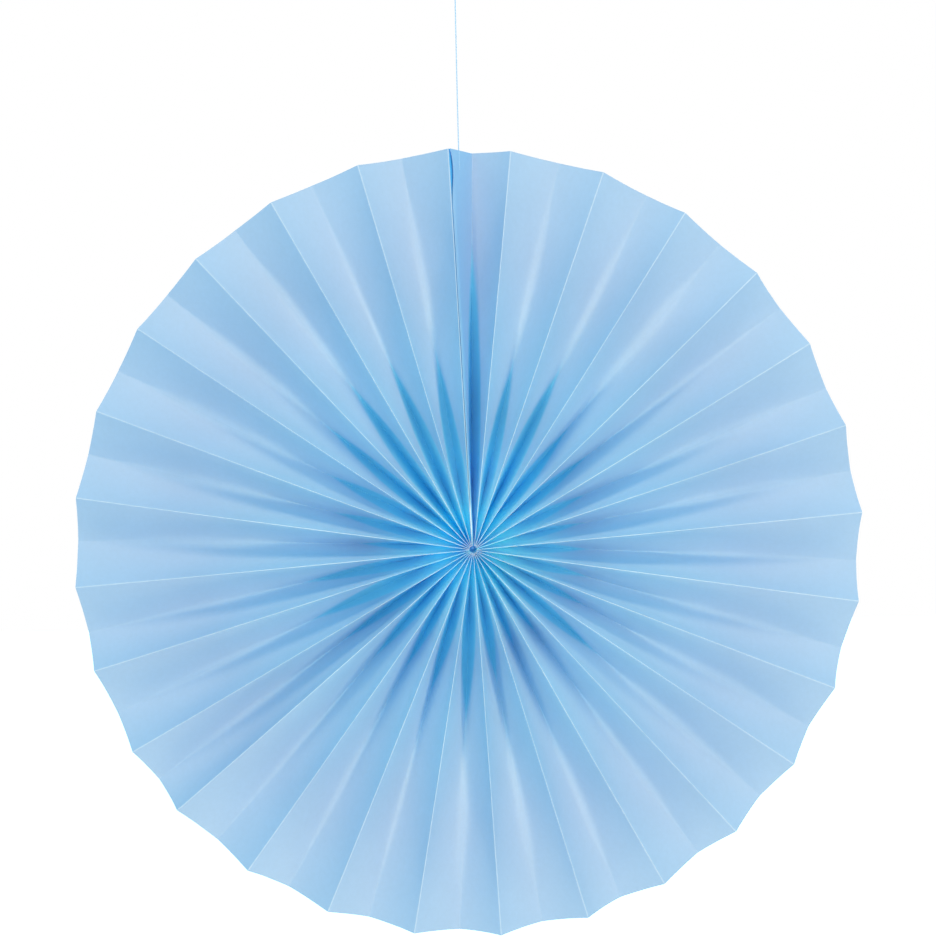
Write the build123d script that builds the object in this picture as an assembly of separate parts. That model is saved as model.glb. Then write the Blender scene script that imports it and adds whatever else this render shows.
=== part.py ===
from build123d import *
from math import asin, cos, degrees, pi, radians, sin, sqrt, tan
import os

# A hanging fan rosette. One long strip of paper is pleated like an accordion, opened until its two ends
# meet, and gathered at its inner edge by a thread through every leaf. The first leaf is lapped behind the
# last one and glued, with the hanging thread trapped between the two.
#
# The fan is worked out flat, seen from the front: x to the right, y up, z towards the viewer, hub in the
# middle. It is then hung in the XZ plane, facing -Y, with the origin where a hook bears in the loop.
# All sizes are in millimetres and all turns in degrees, anticlockwise from x.

# The folded sheet
FAN_RADIUS = 203.0  # hub to rim, half of a 16 inch fan
RIM_DEPTH = 11.3  # ridge fold to valley fold at the rim, front to back
PAPER = 0.15
GATHER_RATIO = 1.33  # room that a gathered leaf takes at the hub, in paper thicknesses
JOIN_ANGLE = 92.9  # where the first fold, the join's ridge, meets the rim
FOLD_STEPS = [  # from each fold to the next along the rim; ridges and valleys alternate
    6.7, 6.4, 7.2, 6.3, 6.6, 6.8, 6.7, 6.3, 6.9, 6.3, 6.6, 6.2, 6.5, 6.4, 7.1, 5.3, 7.3, 5.7, 5.8,
    4.9, 7.6, 6.0, 6.7, 6.5, 6.2, 6.9, 6.8, 6.0, 6.4, 6.7, 5.6, 6.7, 6.6, 6.5, 6.2, 6.9, 5.8, 7.0,
    5.7, 7.6, 5.7, 7.4, 6.0, 7.0, 5.8, 7.3, 6.4, 6.5, 6.4, 7.2, 5.7, 7.5, 6.3, 7.4, 5.4,
]
EVEN_SPANS = 9  # into which each fold line is divided, from the gather thread to the rim

# The join
JOIN_RIDGE_RISE = 3.0  # how far the join's ridge stands out at the rim, past the other ridges
JOIN_VALLEY_DROP = 2.0  # the same for the valley beside it, backwards
THREAD = 0.6
THREAD_PLAY = 0.2  # room for the thread between the two lapped leaves
EDGE_SETBACK = 0.7  # free edge of the front leaf, short of the fold beside it
TUCK_SETBACK = 2.4  # free edge of the leaf behind, short of the valley
GLUE_WIDTH = 3.0
GLUE_INSET = 2.0  # glue to the free edge of the front leaf
GLUE_PLAY = 0.05  # glue to each leaf
GLUE_START = 60.0  # from the hub
GLUE_END = 175.0
TAIL = 10.0  # thread held inside the join
SEAT_SHARE = 0.65  # where the thread sits, from the valley beside the join up to the join's ridge

# The gathered hub
GATHER_RADIUS = 5.0
GATHER_THREAD = 0.4
PUNCH_PLAY = 0.18  # round the thread in each punched hole
SMALL_SIDES = 6  # flats round a thread and round a punched hole
KNOT_PLAY = 0.3  # gather knot to the inner edges of the leaves
GATHER_KNOT_LENGTH = 3.0

# The hanging thread above the rim
DROP = 80.0  # rim to loop knot
LOOP_KNOT_RADIUS = 1.1
LOOP_KNOT_LENGTH = 2.6
KNOT_WRAPS = 3
WRAP_DEPTH = 0.2  # groove between two wraps of a knot
RUN_SHARE = 0.45  # of the shorter run that a bend of the thread may take
LOOP_POINTS = [  # from the loop knot round to it again: x, and height below the loop's top corner
    (0.45, -22.6), (2.6, -14.2), (4.2, -7.2), (3.0, -1.6), (0.0, 0.0),
    (-3.0, -1.6), (-4.3, -7.4), (-2.7, -14.4), (-0.45, -22.6),
]

LAP_GAP = THREAD + THREAD_PLAY
LAP = 2 * PAPER + LAP_GAP  # both lapped leaves and what is between them
LEAVES = len(FOLD_STEPS)  # without the two lapped ones
LAST_FOLD = LEAVES  # even folds are ridges and odd ones valleys
FOLD_TURNS = [JOIN_ANGLE + sum(FOLD_STEPS[:number]) for number in range(LAST_FOLD + 1)]
LEAF_SPREAD = 2 * sin(pi / (LEAVES + 1))  # chord of a mean leaf at radius 1
LEAF_WIDTH = sqrt((FAN_RADIUS * LEAF_SPREAD) ** 2 + RIM_DEPTH**2)
HUB_RADIUS = (LEAVES * PAPER * GATHER_RATIO + LAP) / (2 * pi)


def between(low, high, share):
    return low + (high - low) * share


def hub_share(radius):
    return (radius - HUB_RADIUS) / (FAN_RADIUS - HUB_RADIUS)


GATHER_SHARE = hub_share(GATHER_RADIUS)
STATIONS = [0] + [between(GATHER_SHARE, 1, span / EVEN_SPANS) for span in range(EVEN_SPANS + 1)]


def fold_point(number, share):
    """The inner corner of a fold, at a share of the way from the hub to the rim."""
    lap_turn = degrees(LAP / HUB_RADIUS)
    lap_middle = (FOLD_TURNS[0] + FOLD_TURNS[-1]) / 2 - 180
    hub_turn = lap_middle + lap_turn / 2 + number * (360 - lap_turn) / LEAVES
    at_hub = Vector(HUB_RADIUS, 0).rotate(Axis.Z, hub_turn)
    at_rim = Vector(FAN_RADIUS, 0).rotate(Axis.Z, FOLD_TURNS[number])
    flat = at_hub + (at_rim - at_hub) * share
    half_depth = sqrt(LEAF_WIDTH**2 - (flat.length * LEAF_SPREAD) ** 2) / 2
    half_depth += {0: JOIN_RIDGE_RISE, LAST_FOLD: JOIN_VALLEY_DROP}.get(number, 0) * share**2
    return flat + Vector(0, 0, half_depth if number % 2 == 0 else -half_depth)


def leaf_normal(ridge, valley, thickness):
    """Unit normal towards the viewer of what lies between a ridge's inner corner at its back and a
    valley's inner corner at its front."""
    down = (valley - ridge).normalized()
    along = Vector(down.X, down.Y, 0).normalized()
    square = along * -down.Z + Vector(0, 0, along.dot(down))
    lean = asin(thickness / (valley - ridge).length)
    return square * cos(lean) + down * sin(lean)


def flat_face(*points):
    return Face(Wire.make_polygon(points, close=True))


def strips(*lines):
    """The faces that join each line to the next one. A leaf twists from edge-on at the hub to nearly
    flat at the rim, so each span between two stations is two flats."""
    faces = []
    for one, other in zip(lines, lines[1:]):
        for a, b, c, d in zip(one, one[1:], other[1:], other):
            faces += [flat_face(a, b, c), flat_face(a, c, d)]
    return faces


def ends(*lines):
    """The flat faces between some lines at the hub and at the rim."""
    return [flat_face(*[line[end] for line in lines]) for end in (0, -1)]


def moved(line, normals, distance):
    return [point + normal * distance for point, normal in zip(line, normals)]


def leaf_faces(ridge_front, valley_front, valley_back, ridge_back):
    """The front, the back and both ends of one leaf, from the lines along its two sides."""
    front = strips(ridge_front, valley_front)
    back = strips(ridge_back, valley_back)
    return front + back + ends(ridge_front, valley_front, valley_back, ridge_back)


def crease_faces(inner, before, after, outward):
    """The outside of one fold: the paper turns round the inner corner at its own thickness."""
    crest = [point + Vector(0, 0, outward * PAPER) for point in inner]
    return strips(before, crest, after) + ends(inner, before, crest) + ends(inner, crest, after)


def lap_at(share):
    """Across the lapped leaves: the valley's inner corner, the way up from it to the join's ridge, and
    the normal towards the viewer."""
    ridge, valley = fold_point(0, share), fold_point(LAST_FOLD, share)
    normal = leaf_normal(ridge, valley, LAP)
    return valley, ridge + normal * LAP - valley, normal


def lap_point(share, inset, depth, from_valley=True):
    """On the lapped leaves, in from the valley or from the free edge of the front leaf, and at a depth
    behind its front."""
    valley, rise, normal = lap_at(share)
    up = inset if from_valley else rise.length - EDGE_SETBACK - inset
    return valley + rise.normalized() * up - normal * depth


def lap_line(inset, depth, from_valley=True):
    return [lap_point(share, inset, depth, from_valley) for share in STATIONS]


def across_lap(share, across, depth):
    """On the lapped leaves, at a share of the way from the valley up to the join's ridge."""
    valley, rise, normal = lap_at(share)
    return valley + rise * across - normal * depth


def pleated_sheet():
    """The whole folded strip, from the free edge tucked behind the join round to the one in front, with
    a hole through every leaf for the gather thread."""
    folds = [[fold_point(number, share) for share in STATIONS] for number in range(LAST_FOLD + 1)]
    faces = []
    before, after = {}, {}  # outer line at each fold, of the leaf before it and of the leaf after it
    for number, (one, other) in enumerate(zip(folds, folds[1:])):
        ridge, valley = (one, other) if number % 2 == 0 else (other, one)
        normals = [leaf_normal(r, v, PAPER) for r, v in zip(ridge, valley)]
        ridge_front, valley_back = moved(ridge, normals, PAPER), moved(valley, normals, -PAPER)
        faces += leaf_faces(ridge_front, valley, valley_back, ridge)
        outer = (ridge_front, valley_back) if number % 2 == 0 else (valley_back, ridge_front)
        after[number], before[number + 1] = outer

    free_front = lap_line(0, 0, from_valley=False)
    free_back = lap_line(0, PAPER, from_valley=False)
    after[LAST_FOLD] = lap_line(0, PAPER)
    faces += leaf_faces(free_front, folds[-1], after[LAST_FOLD], free_back)
    tuck_front = lap_line(TUCK_SETBACK, LAP - PAPER)
    tuck_back = lap_line(TUCK_SETBACK, LAP)
    before[0] = lap_line(-EDGE_SETBACK, LAP - PAPER, from_valley=False)
    faces += leaf_faces(before[0], tuck_front, tuck_back, folds[0])
    faces += strips(free_front, free_back) + strips(tuck_front, tuck_back)

    for number, inner in enumerate(folds):
        outward = 1 if number % 2 == 0 else -1
        faces += crease_faces(inner, before[number], after[number], outward)
    return Solid(Shell(faces)) - punched_holes()


def punched_holes():
    """What the gather thread's hole takes out of each leaf, halfway through the fan's depth."""
    hole = RegularPolygon(GATHER_THREAD / 2 + PUNCH_PLAY, SMALL_SIDES)
    centres = []
    for number in range(LAST_FOLD):
        ridge, valley = fold_point(number, GATHER_SHARE), fold_point(number + 1, GATHER_SHARE)
        if number % 2:
            ridge, valley = valley, ridge
        centres.append(((ridge + valley) / 2, leaf_normal(ridge, valley, PAPER)))
    for depth in (PAPER / 2, LAP - PAPER / 2):
        centres.append((across_lap(GATHER_SHARE, 1 / 2, depth), lap_at(GATHER_SHARE)[-1]))
    return [extrude(Plane(centre, z_dir=z) * hole, PAPER, both=True) for centre, z in centres]


def wound_knot(radius, length):
    """A knot of thread drawn tight: a short barrel with a groove between its wraps, along z."""
    wrap = length / KNOT_WRAPS
    outline = [(0, 0)]
    for number in range(KNOT_WRAPS):
        outline += [(radius - WRAP_DEPTH, number * wrap), (radius, (number + 1 / 2) * wrap)]
    outline += [(radius - WRAP_DEPTH, length), (0, length)]
    return revolve(Plane.XZ * make_face(Polyline(*outline, close=True)), Axis.Z)


def gather_knot():
    return Pos(0, 0, -GATHER_KNOT_LENGTH / 2) * wound_knot(HUB_RADIUS - KNOT_PLAY, GATHER_KNOT_LENGTH)


def gather_thread():
    """The drawn thread: once round through the leaves, with both ends side by side through the join
    to the knot."""
    ring_side, hub_side = across_lap(GATHER_SHARE, 1 / 2, LAP / 2), across_lap(0, 1 / 2, LAP / 2)
    inward = Vector(hub_side.X - ring_side.X, hub_side.Y - ring_side.Y).normalized()
    section = RegularPolygon(GATHER_THREAD / 2, SMALL_SIDES)
    thread = revolve(Plane.XZ * Pos(GATHER_RADIUS, 0) * section, Axis.Z)
    for height in (-GATHER_THREAD / 2, GATHER_THREAD / 2):
        start = Vector(ring_side.X, ring_side.Y, height)
        thread += extrude(Plane(start, z_dir=inward) * section, GATHER_RADIUS)
    return thread - gather_knot()


def join_glue():
    """A bead that fills the gap between the lapped leaves along part of the free edge. The gap's filling
    has the leaves' own flats, and is cut to the bead's outline seen from the front."""
    front, back = PAPER + GLUE_PLAY, LAP - PAPER - GLUE_PLAY
    free_front, valley_front = lap_line(0, front, from_valley=False), lap_line(0, front)
    free_back, valley_back = lap_line(-EDGE_SETBACK, back, from_valley=False), lap_line(TUCK_SETBACK, back)
    faces = leaf_faces(free_front, valley_front, valley_back, free_back)
    faces += strips(free_front, free_back) + strips(valley_front, valley_back)
    outline = [
        lap_point(hub_share(radius), inset, PAPER, from_valley=False)
        for radius, inset in (
            (GLUE_START, GLUE_INSET),
            (GLUE_END, GLUE_INSET),
            (GLUE_END, GLUE_INSET + GLUE_WIDTH),
            (GLUE_START, GLUE_INSET + GLUE_WIDTH),
        )
    ]
    bead = flat_face(*[Vector(point.X, point.Y) for point in outline])
    return Solid(Shell(faces)) & extrude(bead, 2 * LEAF_WIDTH, dir=(0, 0, 1), both=True)


def thread_along(name, points):
    """Thread through some points: straight runs joined by arcs as large as the runs allow."""
    radii = []
    for before, here, after in zip(points, points[1:], points[2:]):
        run, following = here - before, after - here
        half_turn = radians(run.get_angle(following)) / 2
        radii.append(RUN_SHARE * min(run.length, following.length) / tan(half_turn))
    path = FilletPolyline(*points, radius=radii)
    print(name, "length", round(path.length, 2), "bend radii", [round(r, 1) for r in radii])
    return sweep(Plane(path @ 0, z_dir=path % 0) * RegularPolygon(THREAD / 2, SMALL_SIDES), path=path)


RIM_SEAT = across_lap(1, SEAT_SHARE, LAP / 2)
KNOT_FOOT = RIM_SEAT + Vector(0, DROP)
LOOP_CORNER = KNOT_FOOT + Vector(0, LOOP_KNOT_LENGTH - LOOP_POINTS[0][1])


def hanging_thread():
    """From its tail, beside the free edge between the rim's flats, up to the loop knot."""
    edge = [lap_point(share, 0, LAP / 2, from_valley=False) for share in STATIONS[-2:]]
    tail_end = RIM_SEAT + (edge[0] - edge[1]).normalized() * TAIL
    return thread_along("hanging_thread", [tail_end, RIM_SEAT, KNOT_FOOT])


def loop_knot():
    return Plane(KNOT_FOOT, z_dir=(0, 1, 0)) * wound_knot(LOOP_KNOT_RADIUS, LOOP_KNOT_LENGTH)


def hanging_loop():
    loop = thread_along("hanging_loop", [LOOP_CORNER + Vector(*point) for point in LOOP_POINTS])
    return loop - loop_knot()


nodes = {
    "pleated_sheet": pleated_sheet(),
    "gather_thread": gather_thread(),
    "gather_knot": gather_knot(),
    "join_glue": join_glue(),
    "hanging_thread": hanging_thread(),
    "loop_knot": loop_knot(),
    "hanging_loop": hanging_loop(),
}

# The hook bears on the inside of the loop's top, straight above the thread, and that is the origin.
hook_height = nodes["hanging_loop"].bounding_box().max.Y - THREAD
hook = Vector(RIM_SEAT.X, hook_height, RIM_SEAT.Z)
hung = Plane(Vector(-hook.X, hook.Z, -hook.Y), x_dir=(1, 0, 0), z_dir=(0, -1, 0))
hub = hung.origin
print("hub at", [round(value, 3) for value in hub])

os.makedirs("parts", exist_ok=True)
for name, shape in nodes.items():
    export_step(hung * shape, f"parts/{name}.step")
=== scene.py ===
from math import cos, pi, radians, sin, sqrt

import bpy
import numpy as np
from mathutils import Matrix, Vector


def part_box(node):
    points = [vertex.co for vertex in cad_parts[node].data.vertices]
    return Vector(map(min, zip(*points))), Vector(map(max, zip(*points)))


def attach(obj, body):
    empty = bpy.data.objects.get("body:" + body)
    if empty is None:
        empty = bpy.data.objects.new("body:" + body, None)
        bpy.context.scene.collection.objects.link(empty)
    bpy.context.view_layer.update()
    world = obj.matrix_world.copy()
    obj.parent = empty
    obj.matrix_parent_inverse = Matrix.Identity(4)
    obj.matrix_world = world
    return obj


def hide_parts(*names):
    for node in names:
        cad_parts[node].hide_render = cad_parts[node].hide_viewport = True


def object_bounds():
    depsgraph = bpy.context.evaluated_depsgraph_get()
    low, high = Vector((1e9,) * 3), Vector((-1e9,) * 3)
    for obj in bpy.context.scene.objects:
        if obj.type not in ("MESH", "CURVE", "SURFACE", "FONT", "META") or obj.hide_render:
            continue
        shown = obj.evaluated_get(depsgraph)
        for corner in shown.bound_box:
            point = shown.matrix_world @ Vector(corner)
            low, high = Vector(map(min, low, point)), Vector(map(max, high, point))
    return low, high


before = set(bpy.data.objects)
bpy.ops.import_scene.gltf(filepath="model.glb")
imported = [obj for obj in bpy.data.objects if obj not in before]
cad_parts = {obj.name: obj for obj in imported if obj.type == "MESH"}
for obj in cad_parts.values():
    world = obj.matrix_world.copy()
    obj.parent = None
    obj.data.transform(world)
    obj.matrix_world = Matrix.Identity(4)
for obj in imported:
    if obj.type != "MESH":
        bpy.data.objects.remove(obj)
cad_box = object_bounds()

# The pleated sheet. One long strip of thin blue paper, dyed through, comes off a pleating machine with 56
# folds and is opened by hand until its two ends meet at the top. It is worked out flat, seen from the
# front (x to the right, y up, z to the viewer, hub in the middle, in mm), and then hung facing -Y.
FAN_RADIUS = 203.0
RIM_DEPTH = 11.3
PAPER = 0.15
FOLD_SLACK = 1.33  # room that a leaf takes at the hub, in paper thicknesses
JOIN_TURN = 92.9  # where the join's ridge points, in degrees anticlockwise from the right
FOLD_STEPS = [  # degrees along the rim from each fold to the next one, anticlockwise from the join
    6.7, 6.4, 7.2, 6.3, 6.6, 6.8, 6.7, 6.3, 6.9, 6.3, 6.6, 6.2, 6.5, 6.4, 7.1, 5.3, 7.3, 5.7, 5.8,
    4.9, 7.6, 6.0, 6.7, 6.5, 6.2, 6.9, 6.8, 6.0, 6.4, 6.7, 5.6, 6.7, 6.6, 6.5, 6.2, 6.9, 5.8, 7.0,
    5.7, 7.6, 5.7, 7.4, 6.0, 7.0, 5.8, 7.3, 6.4, 6.5, 6.4, 7.2, 5.7, 7.5, 6.3, 7.4, 5.4,
]
JOIN_RIDGE_RISE, JOIN_VALLEY_DROP = 3.0, 2.0  # the folds beside the join are opened less, at the rim
THREAD, THREAD_PLAY = 0.6, 0.2
LAP = 2 * PAPER + THREAD + THREAD_PLAY
SPANS = 56  # from the hub to the rim
ACROSS = [0, 0.01, 0.024, 0.05, 0.12, 0.24, 0.36, 0.5, 0.64, 0.76, 0.84, 0.9, 0.95, 0.976, 0.99, 1]

chance = np.random.default_rng(7)
last = len(FOLD_STEPS)
fold_turns = np.radians(JOIN_TURN + np.cumsum([0] + FOLD_STEPS))
hub_radius = (last * PAPER * FOLD_SLACK + LAP) / (2 * pi)
lap_turn = LAP / hub_radius
hub_turns = (fold_turns[0] + fold_turns[-1]) / 2 - pi + lap_turn / 2
hub_turns = hub_turns + np.arange(last + 1) * (2 * pi - lap_turn) / last
shares = np.linspace(0, 1, SPANS + 1)
leaf_spread = 2 * sin(pi / (last + 1))
leaf_width = sqrt((FAN_RADIUS * leaf_spread) ** 2 + RIM_DEPTH**2)


def smooth(value, low, high):
    """0 up to low, 1 from high on, and a smooth rise between them."""
    share = np.clip((value - low) / (high - low), 0, 1)
    return share * share * (3 - 2 * share)


def unit(vectors):
    return vectors / np.linalg.norm(vectors, axis=-1, keepdims=True)


def fold_line(number):
    """The inner corner of a fold at each station, from the hub to the rim."""
    at_hub = hub_radius * np.array([cos(hub_turns[number]), sin(hub_turns[number])])
    at_rim = FAN_RADIUS * np.array([cos(fold_turns[number]), sin(fold_turns[number])])
    flat = at_hub + np.outer(shares, at_rim - at_hub)
    reach = np.linalg.norm(flat, axis=1)
    depth = np.sqrt(leaf_width**2 - (reach * leaf_spread) ** 2) / 2
    depth += {0: JOIN_RIDGE_RISE, last: JOIN_VALLEY_DROP}.get(number, 0) * shares**2
    return np.column_stack([flat, depth if number % 2 == 0 else -depth])


folds = [fold_line(number) for number in range(last + 1)]
radii = np.linalg.norm(folds[10][:, :2], axis=1)
crease_at = [line + [0, 0, PAPER / 2 if n % 2 == 0 else -PAPER / 2] for n, line in enumerate(folds)]
slope = np.sqrt(leaf_width**2 - (radii * leaf_spread) ** 2) / leaf_width

# A leaf isn't flat. It hangs back a little between its folds, ripples, and rolls into its valley more
# softly half way out than at the hub and the rim, where the creases are pressed hard.
SAG, SAG_MIDDLE, SAG_REACH = 1.3, 120, 190
SAG_ROOM, SAG_SWING = 0.024, 0.25  # as shares of the distance from the hub and of the sag
RIPPLE, RIPPLE_PITCH, RIPPLE_FROM = 0.1, 47, (30, 90)
RIDGE_ROUND, VALLEY_ROUND, VALLEY_SOFT = 0.3, 0.35, 4.6
SOFT_FROM, SOFT_TO = (85, 125), (150, 196)
sags = chance.uniform(0.65, 1.25, last + 2)
waves = chance.uniform(90, 160, last + 2)
phases = chance.uniform(0, 2 * pi, last + 2)
softness = chance.uniform(0.45, 1.2, last + 1)
softness[last] = 0


def sag_of(number, share):
    """How far a leaf hangs back behind the flat between its folds, across it and along it."""
    room = np.minimum(SAG_ROOM * radii, SAG * (1 - ((radii - SAG_MIDDLE) / SAG_REACH) ** 2))
    bow = 4 * share * (1 - share)
    own = sags[number] * (1 + SAG_SWING * np.sin(2 * pi * radii / waves[number] + phases[number]))
    ripple = RIPPLE * np.sin(2 * pi * radii / RIPPLE_PITCH + 3 * phases[number]) * np.sin(2 * pi * share)
    return bow * room * own + ripple * smooth(radii, *RIPPLE_FROM)


def valley_width(own):
    """How wide the rounded bottom of a valley is."""
    return VALLEY_ROUND + own * VALLEY_SOFT * smooth(radii, *SOFT_FROM) * (1 - smooth(radii, *SOFT_TO))


# The join's two leaves lie flat on each other, a thread's thickness apart. The front one ends short of the
# ridge, with a slot beside it that opens near the rim, and its free edge dips onto the leaf behind.
TUCK = 2.4  # how far the tail leaf, behind, stops short of the valley
SLOT, SLOT_NEAR_RIM, SLOT_WAVE = 0.6, 1.9, 0.2
SLOT_OPENS, SLOT_CLOSES, SLOT_PINCH = (182, 190), (197, 204), 1.35
EDGE_DIP, DIP_WIDTH, DIP_ENDS = 0.55, 2, (175, 186)
LAP_SAG, LAP_SAG_ENDS = 0.35, (165, 190)

down = unit(folds[-1] - folds[0])
along = unit(down * [1, 1, 0])
square = along * -down[:, 2:] + np.outer((along * down).sum(1), [0, 0, 1])
lean = np.arcsin(LAP / np.linalg.norm(folds[-1] - folds[0], axis=1))[:, None]
lap_normal = square * np.cos(lean) + down * np.sin(lean)
lap_rise = folds[0] + lap_normal * LAP - folds[-1]
lap_length = np.linalg.norm(lap_rise, axis=1)
flare = smooth(radii, *SLOT_OPENS) * (1 - SLOT_PINCH * smooth(radii, *SLOT_CLOSES))
uneven = SLOT_WAVE * np.sin(radii / 9.0) * np.sin(radii / 31.0 + 1) * smooth(radii, 20, 60)
slot = SLOT + (SLOT_NEAR_RIM - SLOT) * flare + uneven


def lap_column(up, depth, sag_share):
    """Across the lapped leaves, at a height above the valley and a depth behind the front one."""
    sag = LAP_SAG * sag_of(last, sag_share) * (1 - smooth(radii, *LAP_SAG_ENDS))
    return folds[-1] + unit(lap_rise) * up[:, None] - lap_normal * (depth + sag)[:, None]


# The strip is drawn from one end to the other as columns of points from the hub to the rim. Each point
# keeps what its colour depends on: how far it is from the ridge and the valley, whether it is in the lap
# (painted shade), and how deep it is inside the wedge of painted shade that fills each valley near the hub.
SHADE_REACH = [  # how far out from the hub each valley holds painted shade, in mm, anticlockwise from the join
    104, 108, 108, 100, 86, 76, 60, 92, 94, 86, 80, 76, 84, 96, 76, 60, 60, 90, 70, 66, 64, 62, 68, 80,
    82, 106, 100, 160,
]
TAIL_IN_LAP, RIDGE_IN_LAP, FRONT_IN_LAP = 1.0, 0.4, 0.25  # how much painted shade of the lap the tail leaf, its top, and the front leaf take
CUT_EDGE_HIGHLIGHT_OFFSET = 0.4  # in mm: keeps the painted ridge highlight off the join's cut edge
columns, crest, trough, lapped, shaded = [], [], [], [], []


def add_column(points, from_ridge, from_valley, in_lap=0.0, in_shade=-1.0):
    columns.append(points)
    for values, value in ((crest, from_ridge), (trough, from_valley), (lapped, in_lap), (shaded, in_shade)):
        values.append(np.broadcast_to(value, shares.shape))


for share in ACROSS[:0:-1]:
    up = TUCK + (lap_length - TUCK) * (1 - share)
    in_lap = TAIL_IN_LAP if share > ACROSS[2] else RIDGE_IN_LAP
    add_column(lap_column(up, LAP - PAPER / 2, share), lap_length - up, up, in_lap)
for number in range(last):
    ridge_first = number % 2 == 0  # going anticlockwise
    ridge, valley = crease_at[number], crease_at[number + 1]
    if not ridge_first:
        ridge, valley = valley, ridge
    width = np.linalg.norm(valley - ridge, axis=1)
    normal = unit(np.cross(np.gradient((ridge + valley) / 2, axis=0), valley - ridge))
    normal *= 1 if ridge_first else -1
    fold_below = number + 1 if ridge_first else number
    soft = valley_width(softness[fold_below])
    # Painted shade: the wedge in this valley narrows from the hub out to its SHADE_REACH.
    painted_shade_wedge = 1 - radii / SHADE_REACH[fold_below // 2]
    for share in ACROSS[:-1] if ridge_first else ACROSS[:0:-1]:
        points = ridge + (valley - ridge) * share - normal * sag_of(number, share)[:, None]
        lift = slope * soft / 2 * np.clip(1 - width * (1 - share) / soft, 0, 1) ** 2
        drop = slope * RIDGE_ROUND / 2 * np.clip(1 - width * share / RIDGE_ROUND, 0, 1) ** 2
        points[:, 2] += lift - drop
        add_column(points, width * share, width * (1 - share), in_shade=painted_shade_wedge - (1 - share))
# The painted shade wedge of the join's valley.
painted_shade_wedge = 1 - radii / SHADE_REACH[-1]
for share in ACROSS[::-1]:
    up = (lap_length - slot) * (1 - share)
    from_edge = lap_length - slot - up
    dip = EDGE_DIP * (1 - smooth(from_edge, 0, DIP_WIDTH)) * (1 - smooth(radii, *DIP_ENDS))
    points = lap_column(up, PAPER / 2 + dip, share)
    add_column(points, from_edge + CUT_EDGE_HIGHLIGHT_OFFSET, up, FRONT_IN_LAP, painted_shade_wedge - (1 - share))

middle = np.array(columns)
outward = unit(np.cross(np.gradient(middle, axis=1), np.gradient(middle, axis=0)))
front, back = middle + outward * PAPER / 2, middle - outward * PAPER / 2

hub = sum(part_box("gather_thread"), Vector()) / 2
hub.y = sum(corner.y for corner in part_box("pleated_sheet")) / 2


def hung(points):
    """Points of the flat drawing, in mm, where they are in the frame, in metres."""
    points = np.asarray(points, float) / 1000
    return np.stack([hub.x + points[..., 0], hub.y - points[..., 2], hub.z + points[..., 1]], -1)


def add_mesh(name, points, faces):
    """A smooth piece from points in the frame, in metres."""
    mesh = bpy.data.meshes.new(name)
    mesh.from_pydata(points.tolist(), [], [list(map(int, face)) for face in faces])
    mesh.polygons.foreach_set("use_smooth", [True] * len(mesh.polygons))
    piece = bpy.data.objects.new(name, mesh)
    bpy.context.scene.collection.objects.link(piece)
    return piece


def quads(grid):
    """The faces of a grid of point numbers."""
    corners = [grid[:-1, :-1], grid[:-1, 1:], grid[1:, 1:], grid[1:, :-1]]
    return np.stack([corner.ravel() for corner in corners], 1)


front_at = np.arange(middle.shape[0] * middle.shape[1]).reshape(middle.shape[:2])
back_at = front_at + front_at.size
edges = [
    np.stack([front_at[:, 0], back_at[:, 0]]),
    np.stack([back_at[:, -1], front_at[:, -1]]),
    np.stack([back_at[0], front_at[0]]),
    np.stack([front_at[-1], back_at[-1]]),
]
faces = np.concatenate([quads(front_at), quads(back_at)[:, ::-1]] + [quads(edge) for edge in edges])
both_sides = np.concatenate([front.reshape(-1, 3), back.reshape(-1, 3)])
sheet = add_mesh("pleated_paper", hung(both_sides), faces)

# The cut edges of the strip are sharp all round.
border = np.zeros(middle.shape[:2], bool)
border[[0, -1]] = border[:, [0, -1]] = True
border = np.concatenate([border.ravel(), border.ravel()])
ends = np.zeros(2 * len(sheet.data.edges), np.int32)
sheet.data.edges.foreach_get("vertices", ends)
ends = ends.reshape(-1, 2)
through_paper = (ends >= front_at.size).sum(1) == 1
sharp = border[ends].all(1) & ~through_paper
sheet.data.attributes.new("sharp_edge", "BOOLEAN", "EDGE").data.foreach_set("value", sharp)

# The back shows its own ridges, which are the front's valleys, and neither the painted shade of the lap nor
# the wedges of painted shade.
distance = np.broadcast_to(radii, middle.shape[:2])
for name, on_front, on_back in (
    ("from_crest", crest, trough),
    ("from_hub", distance, distance),
    ("lapped", lapped, np.zeros(distance.shape)),
    ("shaded", shaded, np.full(distance.shape, -1.0)),
):
    values = np.concatenate([np.ravel(on_front), np.ravel(on_back)]).astype(np.float32)
    sheet.data.attributes.new(name, "FLOAT", "POINT").data.foreach_set("value", values)


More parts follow.
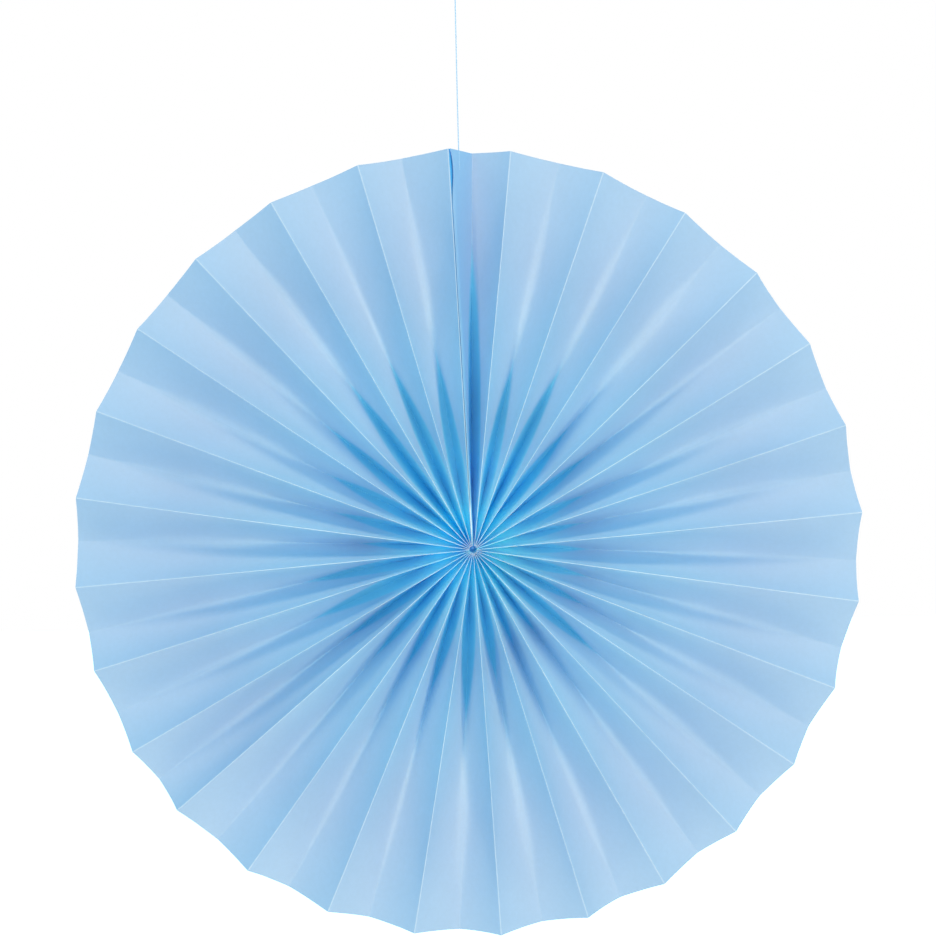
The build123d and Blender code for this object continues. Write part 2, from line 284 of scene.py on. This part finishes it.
class Shade:
    """One output of a node. Sums on it add Math nodes to its material."""

    def __init__(self, tree, socket=None):
        self.tree, self.socket = tree, socket

    def node(self, kind, settings=None, inputs=None, output=0):
        """A node of some type: its settings are set first, then its sockets get values or links."""
        made = self.tree.nodes.new("ShaderNode" + kind)
        for name, value in (settings or {}).items():
            setattr(made, name, value)
        for name, value in (inputs or {}).items():
            if isinstance(value, Shade):
                self.tree.links.new(value.socket, made.inputs[name])
            else:
                made.inputs[name].default_value = value
        return Shade(self.tree, made.outputs[output] if made.outputs else None)

    def sum(self, operation, *values):
        return self.node("Math", {"operation": operation}, dict(enumerate(values)))

    def __add__(self, other):
        return self.sum("ADD", self, other)

    def __sub__(self, other):
        return self.sum("SUBTRACT", self, other)

    def __rsub__(self, other):
        return self.sum("SUBTRACT", other, self)

    def __mul__(self, other):
        return self.sum("MULTIPLY", self, other)

    __radd__, __rmul__ = __add__, __mul__

    def fade(self, low, high, at_low, at_high):
        """at_low up to low, at_high from high on, and a smooth change between them."""
        settings = {"interpolation_type": "SMOOTHSTEP"}
        return self.node("MapRange", settings, {0: self, 1: low, 2: high, 3: at_low, 4: at_high})

    def mix(self, colour, other):
        """From one colour to the other as this value goes from 0 to 1."""
        return self.node("Mix", {"data_type": "RGBA"}, {0: self, 6: colour, 7: other}, 2)

    def noise(self, place, scale, detail=2, roughness=0.5):
        inputs = {"Vector": place, "Scale": scale, "Detail": detail, "Roughness": roughness}
        return self.node("TexNoise", inputs=inputs)


def new_material(name):
    material = bpy.data.materials.new(name)
    material.use_nodes = True
    material.node_tree.nodes.clear()
    return material, Shade(material.node_tree)


# The paper is dyed through. Towards the hub its colour is painted lighter and bluer: painted light
# for the light that goes from leaf to leaf down in the pleats. Each valley there holds a wedge of painted
# shade in deep blue. A thin whiter line along each ridge, strongest near the hub, is a painted highlight.
PAPER_BLUE = (0.37, 0.535, 0.755, 1)
# Painted light: lighter and bluer from the hub out to the outer zone.
INNER_PAINTED_LIGHT_BLUE = (0.38, 0.63, 0.84, 1)
# Painted shade in the valley wedges near the hub, darker towards their tips.
VALLEY_PAINTED_SHADE_BLUE = (0.255, 0.74, 0.92, 1)
VALLEY_TIP_PAINTED_SHADE_BLUE = (0.17, 0.58, 0.81, 1)
# Painted light at the hub, lighter still deep in the pleats away from the ridges.
HUB_CREST_PAINTED_LIGHT_BLUE = (0.38, 0.77, 0.93, 1)
HUB_PLEAT_PAINTED_LIGHT_BLUE = (0.56, 0.97, 1.0, 1)
# Painted shade in the join's slot and on the lapped leaves.
LAP_PAINTED_SHADE_BLUE = (0.07, 0.48, 0.92, 1)
# Painted highlight: a thin whiter line along each ridge.
RIDGE_PAINTED_HIGHLIGHT_BLUE = (0.86, 0.92, 0.97, 1)
HUB_ZONE, WEDGE_ZONE, TIP_ZONE, OUTER_ZONE = (15, 60), (15, 45), (40, 80), (70, 160)  # in mm from the hub
WEDGE_EDGE = (-0.03, 0.12)  # where the wedge of painted shade fades, as a share of the leaf's width
RIDGE_HIGHLIGHT_WIDTH, RIDGE_HIGHLIGHT_ZONE = (0.12, 0.5), (15, 150)  # in mm from the ridge and from the hub

paper, shade = new_material("pale_blue_paper")
place = shade.node("TexCoord", output="Object")
from_crest, from_hub, in_lap, in_shade = (
    shade.node("Attribute", {"attribute_name": name}, output="Fac")
    for name in ("from_crest", "from_hub", "lapped", "shaded")
)
pulp = shade.noise(place, 420, 5, 0.6)
cloud = shade.noise(place, 26, 3)
tooth = shade.noise(place, 1900, 3, 0.7)
# Painted highlight along the ridges, strongest near the hub and kept out of the lap.
ridge_highlight_distance = from_crest * from_hub.fade(6, 60, 0.8, 1) + in_lap
painted_ridge_highlight = ridge_highlight_distance.fade(*RIDGE_HIGHLIGHT_WIDTH, 1, 0) * from_hub.fade(*RIDGE_HIGHLIGHT_ZONE, 1, 0.25) * (0.55 + 0.9 * pulp)
# Painted shade: the deep blue wedge in each valley near the hub.
painted_shade_wedge = in_shade.fade(*WEDGE_EDGE, 0, 1) * from_hub.fade(*WEDGE_ZONE, 0, 1)
wedge_painted_shade_colour = from_hub.fade(*TIP_ZONE, 0, 1).mix(VALLEY_PAINTED_SHADE_BLUE, VALLEY_TIP_PAINTED_SHADE_BLUE)
# Painted light at the hub and in its pleats, fading out to the paper's own colour.
paper_with_painted_light_and_shade = from_crest.fade(1, 14, 0, 1).mix(HUB_CREST_PAINTED_LIGHT_BLUE, HUB_PLEAT_PAINTED_LIGHT_BLUE)
paper_with_painted_light_and_shade = from_hub.fade(*HUB_ZONE, 0, 1).mix(paper_with_painted_light_and_shade, INNER_PAINTED_LIGHT_BLUE)
paper_with_painted_light_and_shade = from_hub.fade(*OUTER_ZONE, 0, 1).mix(paper_with_painted_light_and_shade, PAPER_BLUE)
paper_with_painted_light_and_shade = painted_shade_wedge.mix(paper_with_painted_light_and_shade, wedge_painted_shade_colour)
# Painted shade in the lap.
paper_with_painted_light_and_shade = in_lap.mix(paper_with_painted_light_and_shade, LAP_PAINTED_SHADE_BLUE)
value = pulp * 0.10 + cloud * 0.08 + 0.91
mottled = shade.node("CombineXYZ", inputs={0: value, 1: value, 2: value})
paper_with_painted_light_and_shade = shade.node("Mix", {"data_type": "RGBA", "blend_type": "MULTIPLY"}, {0: 1.0, 6: paper_with_painted_light_and_shade, 7: mottled}, 2)
relief = shade.node("Bump", inputs={"Strength": 0.25, "Distance": 0.00008, "Height": tooth + pulp})
paper_shader = shade.node(
    "BsdfPrincipled",
    inputs={
        "Base Color": painted_ridge_highlight.mix(paper_with_painted_light_and_shade, RIDGE_PAINTED_HIGHLIGHT_BLUE),
        "Roughness": 0.62 + 0.2 * pulp,
        "Normal": relief,
    },
)
shade.node("OutputMaterial", inputs={"Surface": paper_shader})
sheet.data.materials.append(paper)
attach(sheet, "root")
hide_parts("pleated_sheet")


# The gather thread and its knot. A thin polyester thread runs once round through the small holes near the
# inner edge, is drawn tight, and is tied off in the middle of the hub.
def thread_material(name, dark, light):
    """Twisted polyester thread: fine slanting bands and a little fuzz."""
    material, shade = new_material(name)
    place = shade.node("TexCoord", output="Object")
    twist = shade.node(
        "TexWave",
        {"wave_type": "BANDS", "bands_direction": "DIAGONAL"},
        {"Vector": place, "Scale": 420, "Distortion": 1.5, "Detail": 2},
    )
    fuzz = shade.noise(place, 2600, 4, 0.7)
    relief = shade.node("Bump", inputs={"Strength": 0.5, "Distance": 0.00006, "Height": twist + fuzz})
    shader = shade.node(
        "BsdfPrincipled",
        inputs={
            "Base Color": (twist * 0.7 + fuzz * 0.3).mix(dark, light),
            "Roughness": 0.45 + 0.25 * fuzz,
            "Normal": relief,
            "Sheen Weight": 0.3,
        },
    )
    shade.node("OutputMaterial", inputs={"Surface": shader})
    return material


gather_look = thread_material("mid_blue_thread", (0.14, 0.50, 0.88, 1), (0.24, 0.62, 0.94, 1))
for node in ("gather_thread", "gather_knot"):
    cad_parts[node].data.materials.clear()
    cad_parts[node].data.materials.append(gather_look)

# The glue in the join. A bead of clear craft glue is run along the tail leaf, and dries flat when the front
# leaf is pressed onto it. It swells and thins a little along its length.
GLUE_FROM, GLUE_TO, GLUE_INSET, GLUE_WIDTH = 60.0, 175.0, 2.0, 3.0
GLUE_END, GLUE_SWELL, GLUE_CLEAR, GLUE_FLATNESS = 2, 0.3, 0.04, 1.6


def tube_faces(rings, sides):
    """The faces of a closed tube whose points run ring by ring."""
    grid = np.arange(rings * sides).reshape(rings, sides)
    grid = np.concatenate([grid, grid[:, :1]], axis=1)
    return list(quads(grid)) + [grid[0, :-1], grid[-1, :-1][::-1]]


bead = []
for station in np.flatnonzero((radii >= GLUE_FROM - GLUE_END) & (radii <= GLUE_TO + GLUE_END)):
    swell = GLUE_SWELL * np.sin(radii[station] / 6.5) * np.sin(radii[station] / 17.0)
    ring = []
    for turn in np.linspace(0, 2 * pi, 12, endpoint=False):
        inset = GLUE_INSET + GLUE_WIDTH / 2 + (GLUE_WIDTH / 2 + swell) * cos(turn)
        depth = LAP / 2 + (LAP / 2 - PAPER - GLUE_CLEAR) * np.clip(GLUE_FLATNESS * sin(turn), -1, 1)
        up = lap_length - SLOT - inset
        ring.append(lap_column(up, depth, 1 - up / lap_length)[station])
    bead.append(ring)
bead = np.array(bead)
glue = add_mesh("join_bead", hung(bead.reshape(-1, 3)), tube_faces(*bead.shape[:2]))
glue_look, shade = new_material("dried_glue")
place = shade.node("TexCoord", output="Object")
skin = shade.noise(place, 300, 3)
glue_shader = shade.node(
    "BsdfPrincipled",
    inputs={
        "Base Color": skin.mix((0.72, 0.76, 0.74, 1), (0.86, 0.88, 0.84, 1)),
        "Roughness": 0.25 + 0.3 * skin,
        "Normal": shade.node("Bump", inputs={"Strength": 0.3, "Distance": 0.0001, "Height": skin}),
    },
)
shade.node("OutputMaterial", inputs={"Surface": glue_shader})
glue.data.materials.append(glue_look)
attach(glue, "root")
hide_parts("join_glue")

# The hanging thread. The same blue thread, two yarns twisted together, is trapped in the join at the rim
# and runs straight up to a knot just above the picture. Its route is that of the model's own thread, but
# about a millimetre to the right and back at the rim, where it leaves the slot.
THREAD_ROUTE = [(1.27, 0.68, -114.47), (0.83, 1.186, -104.502), (0, 0, -24.517)]
PLY_PITCH, YARN_STEP, YARN_SIDES, YARN_WAIST = 2.2, 0.18, 14, 0.80

thread_look = thread_material("blue_thread", (0.30, 0.55, 0.85, 1), (0.50, 0.74, 0.95, 1))


def line_through(name, route):
    """The points that a spline with these control points runs through, in mm."""
    curve = bpy.data.curves.new(name, "CURVE")
    curve.dimensions = "3D"
    curve.resolution_u = 48
    spline = curve.splines.new("NURBS")
    spline.points.add(len(route) - 1)
    for point, place in zip(spline.points, route):
        point.co = (*place, 1)
    spline.order_u = 3
    spline.use_endpoint_u = True
    holder = bpy.data.objects.new(name, curve)
    mesh = bpy.data.meshes.new_from_object(holder)
    points = np.array([vertex.co for vertex in mesh.vertices])
    bpy.data.objects.remove(holder)
    bpy.data.curves.remove(curve)
    bpy.data.meshes.remove(mesh)
    return points


def evenly(points, step):
    """The same line in equal steps, and how far along it each point is."""
    travel = np.concatenate([[0], np.cumsum(np.linalg.norm(np.diff(points, axis=0), axis=1))])
    places = np.linspace(0, travel[-1], max(2, int(travel[-1] / step)) + 1)
    return np.column_stack([np.interp(places, travel, axis) for axis in points.T]), places


def twisted_yarn(name, line, thickness):
    """Two yarns twisted round each other along a line in mm, as one closed surface."""
    points, places = evenly(line, YARN_STEP)
    ahead = unit(np.gradient(points, axis=0))
    side = np.zeros_like(points)
    side[0] = unit(np.cross(ahead[0], (0.3, 1, 0.2)))
    for number in range(1, len(points)):
        side[number] = side[number - 1] - ahead[number] * side[number - 1].dot(ahead[number])
    side = unit(side)
    other = np.cross(ahead, side)
    turns = np.linspace(0, 2 * pi, YARN_SIDES, endpoint=False)
    lobes = thickness / 2 * (YARN_WAIST + (1 - YARN_WAIST) * np.abs(np.cos(turns)) ** 0.8)
    angle = turns[None, :] + 2 * pi * places[:, None] / PLY_PITCH
    ring = points[:, None] + lobes[None, :, None] * (
        np.cos(angle)[..., None] * side[:, None] + np.sin(angle)[..., None] * other[:, None]
    )
    piece = add_mesh(name, ring.reshape(-1, 3) / 1000, tube_faces(*ring.shape[:2]))
    piece.data.materials.append(thread_look)
    return piece, points / 1000


hanger, hanger_line = twisted_yarn("hanger_thread", line_through("hanger_route", THREAD_ROUTE), THREAD)
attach(hanger, "root")
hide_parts("hanging_thread")

# The knot and the loop at the thread's upper end. The thread is doubled back on itself and wound three
# times round, and the loop that is left goes over a hook.
KNOT_FOOT, KNOT_TOP, KNOT_RADIUS = -24.517, -21.917, 1.1
WRAP_POINTS, POINTS_A_TURN, WRAP_SPREAD, TUCKED_IN = 29, 8, 1.05, 0.6
LOOP_ROUTE = [
    (0.45, 0, -21.92), (2.6, 0, -13.52), (4.2, 0, -6.52), (3.0, 0, -0.92), (0, 0, 1.52),
    (-3.0, 0, -0.92), (-4.3, 0, -6.72), (-2.7, 0, -13.72), (-0.45, 0, -21.92),
]
wraps = []
for step in range(WRAP_POINTS):
    turn = step / POINTS_A_TURN * 2 * pi
    reach = (KNOT_RADIUS - THREAD / 2) * (TUCKED_IN if step in (0, WRAP_POINTS - 1) else WRAP_SPREAD)
    height = KNOT_FOOT + THREAD / 2 + (KNOT_TOP - KNOT_FOOT - THREAD) * step / (WRAP_POINTS - 1)
    wraps.append((reach * cos(turn), reach * sin(turn), height))
knot, knot_line = twisted_yarn("hanger_knot", line_through("knot_route", wraps), THREAD)
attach(knot, "root")
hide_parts("loop_knot")
loop, loop_line = twisted_yarn("hanger_loop", line_through("loop_route", LOOP_ROUTE), THREAD)
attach(loop, "root")
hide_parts("hanging_loop")

# The room. A white floor lies well below the fan, in a white surround that gives cool daylight from all
# round. Soft warm lamps stand in front: tall ones at both sides, wide ones above and below, and one behind.
# Together with the daylight they light what faces the viewer about neutrally.
FLOOR_DROP, FLOOR_REACH, FLOOR_WHITE = 1.1, 8, 0.95
DAYLIGHT, DAYLIGHT_STRENGTH = (0.10, 0.71, 1.0, 1), 0.95
LAMP_COLOUR = (1.0, 0.57, 0.27)
LAMPS = [  # turn round the fan and angle off its axis, in degrees; watts; width, height and distance
    ("strip_right", 0, 31, 8.9, 0.14, 0.9, 1.3),
    ("strip_left", 180, 31, 3.8, 0.14, 0.9, 1.3),
    ("strip_above", 90, 55, 7.1, 0.5, 0.3, 1.3),
    ("strip_below", 270, 31, 2.6, 0.9, 0.2, 1.3),
    ("low_fill", 270, 80, 1.7, 0.9, 0.3, 0.8),
    ("back_fill", 60, 150, 11.0, 1.0, 1.0, 1.3),
]
BLACK, WHITE = (0, 0, 0, 1), (1, 1, 1, 1)


def as_backdrop(shade):
    """1 where the camera sees something, straight or in a reflection or glass, and 0 where it lights."""
    kinds = ("Is Camera Ray", "Is Glossy Ray", "Is Transmission Ray")
    seen, mirrored, through = (shade.node("LightPath", output=kind) for kind in kinds)
    return shade.sum("MINIMUM", seen + mirrored + through, 1.0)


low = cad_box[0][2] - FLOOR_DROP
floor_mesh = bpy.data.meshes.new("floor")
corners = [(x * FLOOR_REACH, y * FLOOR_REACH, low) for x, y in ((-1, -1), (1, -1), (1, 1), (-1, 1))]
floor_mesh.from_pydata(corners, [], [(0, 1, 2, 3)])
floor = bpy.data.objects.new("floor", floor_mesh)
bpy.context.scene.collection.objects.link(floor)
floor_look, shade = new_material("white_floor")
grain = shade.noise(shade.node("TexCoord", output="Object"), 40, 3)
floor_shader = shade.node(
    "BsdfPrincipled",
    inputs={
        "Base Color": grain.mix((0.80, 0.80, 0.80, 1), (0.84, 0.84, 0.84, 1)),
        "Roughness": 0.8,
        "Emission Color": as_backdrop(shade).mix(BLACK, WHITE),
        "Emission Strength": FLOOR_WHITE,
    },
)
shade.node("OutputMaterial", inputs={"Surface": floor_shader})
floor_mesh.materials.append(floor_look)

world = bpy.data.worlds.new("surround")
bpy.context.scene.world = world
world.use_nodes = True
world.node_tree.nodes.clear()
shade = Shade(world.node_tree)
plain = as_backdrop(shade)
strength = plain + (1 - plain) * DAYLIGHT_STRENGTH
surround = shade.node("Background", inputs={"Color": plain.mix(DAYLIGHT, WHITE), "Strength": strength})
shade.node("OutputWorld", inputs={"Surface": surround})

for name, turn, off_axis, watts, wide, high, distance in LAMPS:
    light = bpy.data.lights.new(name, "AREA")
    light.shape, light.size, light.size_y = "RECTANGLE", wide, high
    light.energy, light.color = watts, LAMP_COLOUR
    lamp = bpy.data.objects.new(name, light)
    bpy.context.scene.collection.objects.link(lamp)
    side = sin(radians(off_axis))
    away = Vector((side * cos(radians(turn)), -cos(radians(off_axis)), side * sin(radians(turn))))
    lamp.location = hub + away * distance
    lamp.rotation_euler = away.to_track_quat("Z", "Y").to_euler()
    lamp.visible_camera = False

# The camera stands a little to the left of the fan and a little above its middle, as in the photograph.
TURN, TILT, ROLL, DISTANCE = radians(2.253), radians(2.793), radians(-0.64), 0.7437
FOCAL, IMAGE, SENSOR = 1441.69, 936, 36  # in pixels, pixels and mm
AIM = Vector((-0.001654, 0, 0.040949))  # from the hub
facing = Vector((sin(TURN) * cos(TILT), cos(TURN) * cos(TILT), -sin(TILT)))
level = Vector((cos(TURN), -sin(TURN), 0))
upward = level.cross(facing)
camera_right = level * cos(ROLL) + upward * sin(ROLL)
camera_up = upward * cos(ROLL) - level * sin(ROLL)
lens = bpy.data.cameras.new("camera")
lens.sensor_width, lens.lens = SENSOR, FOCAL / IMAGE * SENSOR
lens.clip_start, lens.clip_end = 0.01, 50
camera = bpy.data.objects.new("camera", lens)
bpy.context.scene.collection.objects.link(camera)
turned = Matrix((camera_right, camera_up, -facing)).transposed().to_4x4()
camera.matrix_world = Matrix.Translation(hub + AIM - facing * DISTANCE) @ turned
bpy.context.scene.camera = camera
bpy.context.scene.cycles.diffuse_bounces = 80  # light is passed from wall to wall down in the pleats
bpy.context.scene.cycles.max_bounces = 96
bpy.context.scene.view_settings.view_transform = "Standard"

bpy.context.view_layer.update()
